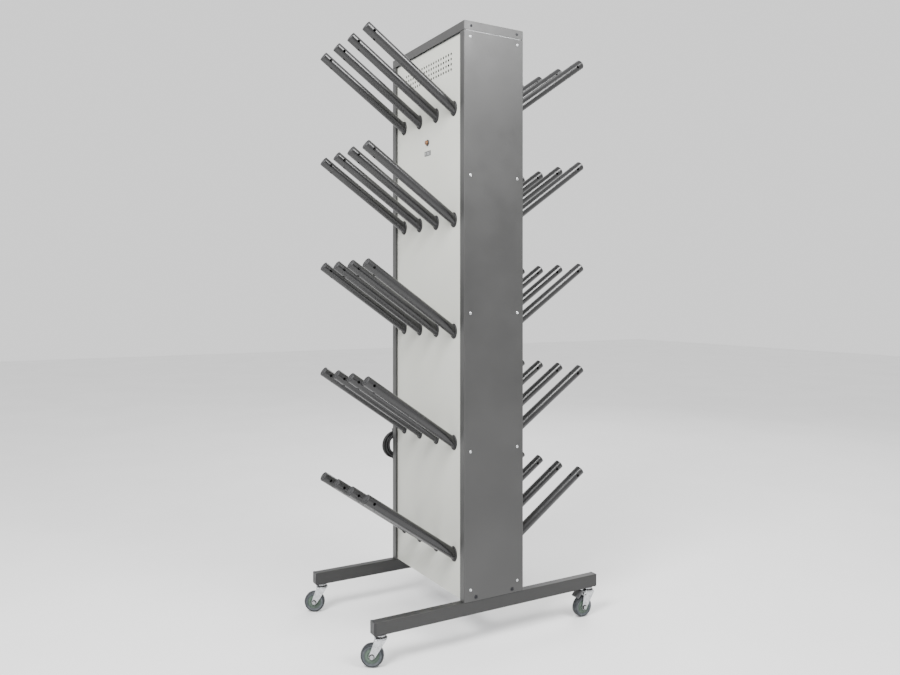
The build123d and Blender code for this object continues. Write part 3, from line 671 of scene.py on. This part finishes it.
# ---------------------------------------------------------------- switch and label
def make_switch():
    """The bezel with its barrel, and the tinted button that slides in it."""
    place = basis((0, -PANEL_FACE, CASTER_HEIGHT + SWITCH_HEIGHT), (0, -1, 0))
    mesh = bmesh.new()
    bezel = [(9.7, -25), (9.7, 0), (11.5, 0.02), (11.5, 1.4), (11.0, 2.4), (10.2, 3.0)]
    bezel += [(9.4, 3.4), (8.9, 3.5), (8.5, 3.2), (8.35, 2.4), (8.35, -22)]
    lathe(mesh, place, bezel, 56)
    add_piece("push_switch_bezel", mesh, "black_plastic", "cabinet", ["switch_bezel"])
    mesh = bmesh.new()
    button = [(0, -11), (8.0, -11), (8.0, 7.4), (7.8, 8.4), (7.2, 9.2)]
    button += [(6.2, 9.7), (4.5, 9.93), (2.2, 10.0), (0, 10.0)]
    lathe(mesh, place, button, 48)
    add_piece("push_switch_lens", mesh, "button_lens", "button", ["switch_button"])


def make_label():
    """A printed plate with plain marks: three heat waves and three bars."""
    place = basis((0, -PANEL_FACE, CASTER_HEIGHT + LABEL_HEIGHT), (0, -1, 0), (1, 0, 0))
    mesh = bmesh.new()
    prism(mesh, place, rounded_rectangle(48, 18, 2), 0, 0.6, 0.15)
    add_piece("label_backing", mesh, "label_print", "cabinet", ["label_plate"])
    marks = bmesh.new()
    sign = upward(place)
    for wave in (-1, 0, 1):
        left = []
        right = []
        for step in range(13):
            y = -5 + 10 * step / 12
            x = -15 + 4.2 * wave + 0.9 * math.sin(y * 1.05)
            left.append((x - 0.55, sign * y))
            right.append((x + 0.55, sign * y))
        prism(marks, place, left + right[::-1], 0.6, 0.75)
    for x, y, width in ((9, 3.6, 22), (5.5, 0.0, 15), (9, -3.6, 22)):
        shifted = [(x + px, sign * y + py) for px, py in rounded_rectangle(width, 1.5, 0.6)]
        prism(marks, place, shifted, 0.6, 0.75)
    add_piece("label_marks", marks, "label_mark", "cabinet")


make_switch()
make_label()


# ---------------------------------------------------------------- casters
# Each caster's (x, y), the way its wheel trails, and whether it has a brake
LEG_X = 260
STEM_Y = 420
CASTERS = {
    "front_right": (LEG_X, -STEM_Y, (-0.5, -0.866), False),
    "front_left": (-LEG_X, -STEM_Y, (-0.5, -0.866), False),
    "back_right": (LEG_X, STEM_Y, (0, -1), True),
    "back_left": (-LEG_X, STEM_Y, (0, -1), True),
}
STEM_RADIUS = 5
STEM_TOP = 133
ARM_INSIDE = 14.5
ARM_OUTSIDE = 17.0
PLATE_TOP = 90.5
PLATE_BOTTOM = 88.0
PEDAL_PIVOT = (23.0, PLATE_BOTTOM - 4.5)


def make_wheel(place, wheel, centre, spin):
    """Tyre, its lighter side rings, and the ribbed hub."""
    out = basis(centre, spin)
    mesh = bmesh.new()
    tyre = [(24.0, -9.6), (26.5, -10.6), (29.0, -11.9), (32.0, -12.4)]
    tyre += [(34.4, -11.6), (36.2, -9.6), (37.2, -6.4), (WHEEL_RADIUS, -3.0)]
    tyre += [(radius, -height) for radius, height in reversed(tyre)]
    lathe(mesh, out, tyre + tyre[:1], 72)
    add_piece(f"tyre_{place}", mesh, "tyre_rubber", wheel, [f"caster_tyre_{place}"])
    side_ring = [(24.05, 9.2), (24.3, 10.3), (26.6, 11.2), (29.0, 12.15)]
    side_ring += [(30.6, 12.45), (31.0, 12.1), (30.8, 11.4), (28.0, 10.6)]
    mesh = bmesh.new()
    for side in (-1, 1):
        lathe(mesh, basis(centre, spin * side), side_ring, 72)
    add_piece(f"tyre_side_{place}", mesh, "rim_grey", wheel)
    mesh = bmesh.new()
    hub = [(4.08, -13.9), (8.6, -13.9), (9.0, -13.4), (9.0, -10.4), (10.2, -9.6), (13.0, -9.2)]
    hub += [(14.0, -10.6), (15.4, -11.2), (16.8, -10.6), (17.8, -8.6), (21.4, -8.2)]
    hub += [(22.2, -9.4), (23.2, -9.8), (24.0, -9.3)]
    hub += [(radius, -height) for radius, height in reversed(hub)]
    lathe(mesh, out, hub + hub[:1], 64)
    add_piece(f"hub_{place}", mesh, "hub_plastic", wheel, [f"caster_hub_{place}"])


def make_axle(place, fork, centre, spin):
    """Axle bolt: washers, a hexagon head on one side, a nut and the thread's end on the other."""
    mesh = bmesh.new()
    out = basis(centre, spin)
    lathe(mesh, out, [(0, -17), (3.95, -17), (3.95, 23), (3.4, 23.6), (0, 23.6)], 28)
    for side in (-1, 1):
        face = basis(centre, spin * side)
        prism(mesh, face, polygon(7.4, 6, 0.3 * side), 18.3, 22.2, 0.5)
    for thread in range(4):
        low = 22.3 + 0.3 * thread
        lathe(mesh, out, [(3.9, low), (4.1, low + 0.15), (3.9, low + 0.3)], 28)
    add_piece(f"axle_{place}", mesh, "zinc_nut", fork, [f"caster_axle_{place}"])
    mesh = bmesh.new()
    for side in (-1, 1):
        face = basis(centre, spin * side)
        lathe(mesh, face, [(4.0, 17.05), (9.2, 17.05), (9.2, 18.1), (8.8, 18.4), (4.0, 18.4)], 36)
    add_piece(f"axle_washers_{place}", mesh, "grease", fork)


def make_fork(place, fork, stem, trailing, spin, braked):
    """Pressed fork: two arms with round feet, a bridge, and the swivel dish with its ball race."""
    mesh = bmesh.new()
    arm_top = PLATE_TOP - 0.3
    outline = [(-18.5, arm_top - 1), (18.5, arm_top - 1), (-17.5, arm_top), (17.5, arm_top)]
    outline += circle_points((TRAIL, WHEEL_RADIUS), 10)
    if braked:
        outline += circle_points(PEDAL_PIVOT, 6)
    arm = hull(outline)
    flat = basis(stem, spin, trailing)
    sign = upward(flat)
    arm = [(x, sign * y) for x, y in arm]
    for side in (-1, 1):
        low, high = sorted((side * ARM_INSIDE, side * ARM_OUTSIDE))
        prism(mesh, flat, arm, low, high, 0.5)
    upright = basis(stem, Z, trailing)
    prism(mesh, upright, rounded_rectangle(36.4, 33.2, 3), PLATE_BOTTOM, PLATE_TOP, 0.4)
    dish = [(5.06, PLATE_BOTTOM), (5.06, 97.4), (12.0, 97.4), (14.5, 96.4), (19.2, 96.2)]
    dish += [(20.9, 95.2), (21.4, 93.2), (20.6, 91.6), (21.0, 90.8), (19.5, PLATE_TOP - 0.2)]
    lathe(mesh, upright, dish, 56)
    add_piece(f"fork_{place}", mesh, "zinc", fork, [f"caster_fork_{place}"], 32)


def make_pedal(place, pedal, stem, trailing, spin):
    """Brake lever: two links, a cross pin and a ribbed tread."""
    mesh = bmesh.new()
    flat = basis(stem, spin, trailing)
    sign = upward(flat)
    links = hull(circle_points(PEDAL_PIVOT, 4.2, 20) + [(35, 98.5), (41, 92.5)])
    for side in (-1, 1):
        low, high = sorted((side * 10.8, side * 13.2))
        prism(mesh, flat, [(x, sign * y) for x, y in links], low, high, 0.4)
    pin = basis(stem + trailing * PEDAL_PIVOT[0] + Z * PEDAL_PIVOT[1], spin)
    lathe(mesh, pin, [(0, -18.5), (2.0, -18.5), (2.5, -18), (2.5, 18), (2.0, 18.5), (0, 18.5)], 20)
    tread = [(34, 97), (36.4, 99.8), (37.6, 99.8), (59.2, 78.2), (59.4, 77.2), (57, 74)]
    prism(mesh, flat, [(x, sign * y) for x, y in tread], -19, 19, 0.8)
    for rib in range(6):
        x = 39.5 + 3.4 * rib
        y = 98.4 - 3.4 * rib
        bar = [(x - 0.8, y), (x, y + 0.8), (x + 0.5, y + 0.3), (x - 0.3, y - 0.5)]
        prism(mesh, flat, [(px, sign * py) for px, py in bar], -16.5, 16.5)
    add_piece(f"pedal_{place}", mesh, "pedal_paint", pedal, [f"brake_pedal_{place}"], 30)


def make_stems():
    """Fixed half of each swivel: the race under the leg, the riveted kingpin and the dark seal between."""
    race = [(STEM_RADIUS, STEM_TOP), (STEM_RADIUS, CASTER_HEIGHT), (16.2, CASTER_HEIGHT)]
    race += [(17.0, 103.4), (17.0, 101.6), (15.6, 99.6), (12, 98.4), (STEM_RADIUS, 98.4)]
    kingpin = [(STEM_RADIUS, 98.6), (STEM_RADIUS, 87.6), (7.2, 87.6), (8.0, 86.8), (7.6, 85.4)]
    kingpin += [(5.4, 84.4), (0, 84.2)]
    seal = [(12.5, 97.5), (16.6, 97.5), (17.4, 98.0), (16.9, 99.0), (15.2, 99.3)]
    mesh = bmesh.new()
    for x, y, _, _ in CASTERS.values():
        lathe(mesh, basis((x, y, 0), Z), race, 48)
        lathe(mesh, basis((x, y, 0), Z), kingpin, 36)
    add_piece("swivel_races", mesh, "zinc", "cabinet", ["caster_stems"])
    mesh = bmesh.new()
    for x, y, _, _ in CASTERS.values():
        lathe(mesh, basis((x, y, 0), Z), seal, 48)
    add_piece("swivel_seals", mesh, "grease", "cabinet")


make_stems()
for place, (x, y, heading, braked) in CASTERS.items():
    stem = Vector((x, y, 0))
    trailing = Vector((*heading, 0)).normalized()
    spin = trailing.cross(Z)
    centre = stem + trailing * TRAIL + Z * WHEEL_RADIUS
    make_fork(place, f"fork_{place}", stem, trailing, spin, braked)
    make_axle(place, f"fork_{place}", centre, spin)
    make_wheel(place, f"wheel_{place}", centre, spin)
    if braked:
        make_pedal(place, f"pedal_{place}", stem, trailing, spin)


# ---------------------------------------------------------------- softened edges of CAD nodes
def soften(node, width):
    """A small bevel on a CAD node's sharp edges, so that they catch the light."""
    bevel = nodes[node].modifiers.new("edge", "BEVEL")
    bevel.width = width
    bevel.segments = 2
    bevel.limit_method = "ANGLE"
    bevel.angle_limit = math.radians(50)
    bevel.harden_normals = False


for node in ("leg_end_caps", "cable_hook"):
    soften(node, 0.0006)


# ---------------------------------------------------------------- floor and light
def make_stage():
    """A wide pale floor."""
    size = 14
    corners = [(-size, -size, 0), (size, -size, 0), (size, size, 0), (-size, size, 0)]
    mesh = bmesh.new()
    mesh.faces.new(ring(mesh, corners))
    data = bpy.data.meshes.new("floor")
    mesh.to_mesh(data)
    mesh.free()
    floor = bpy.data.objects.new("floor", data)
    bpy.context.scene.collection.objects.link(floor)
    material = shader("floor_paint", (0.86, 0.86, 0.86), 0.6)
    vary_colour(material, noise(material, 1.5, 3), (0.85, 0.85, 0.85), (0.88, 0.88, 0.88))
    data.materials.append(material)


def area_light(name, place, target, size, power):
    """A soft rectangular light aimed at a target."""
    data = bpy.data.lights.new(name, "AREA")
    data.shape = "RECTANGLE"
    data.size, data.size_y = size
    data.energy = power
    light = bpy.data.objects.new(name, data)
    bpy.context.scene.collection.objects.link(light)
    light.location = place
    aim = Vector(target) - Vector(place)
    light.rotation_euler = aim.to_track_quat("-Z", "Y").to_euler()


def make_light():
    """White surroundings, a key light near the top of the front, and fills at the end and behind."""
    world = bpy.data.worlds.new("studio")
    bpy.context.scene.world = world
    world.use_nodes = True
    background = world.node_tree.nodes["Background"]
    background.inputs["Color"].default_value = (1, 1, 1, 1)
    background.inputs["Strength"].default_value = 1.2
    middle = (0, 0, 1.1)
    area_light("key", (1.5, -2.5, 3.3), (0, 0, 1.8), (1.3, 1.3), 240)
    area_light("end_fill", (2.3, 0.8, 3.2), (0.2, 0, 2.1), (1.1, 1.1), 105)
    area_light("back_rim", (-2.5, 3.5, 3.4), middle, (2.0, 2.0), 80)


make_stage()
make_light()
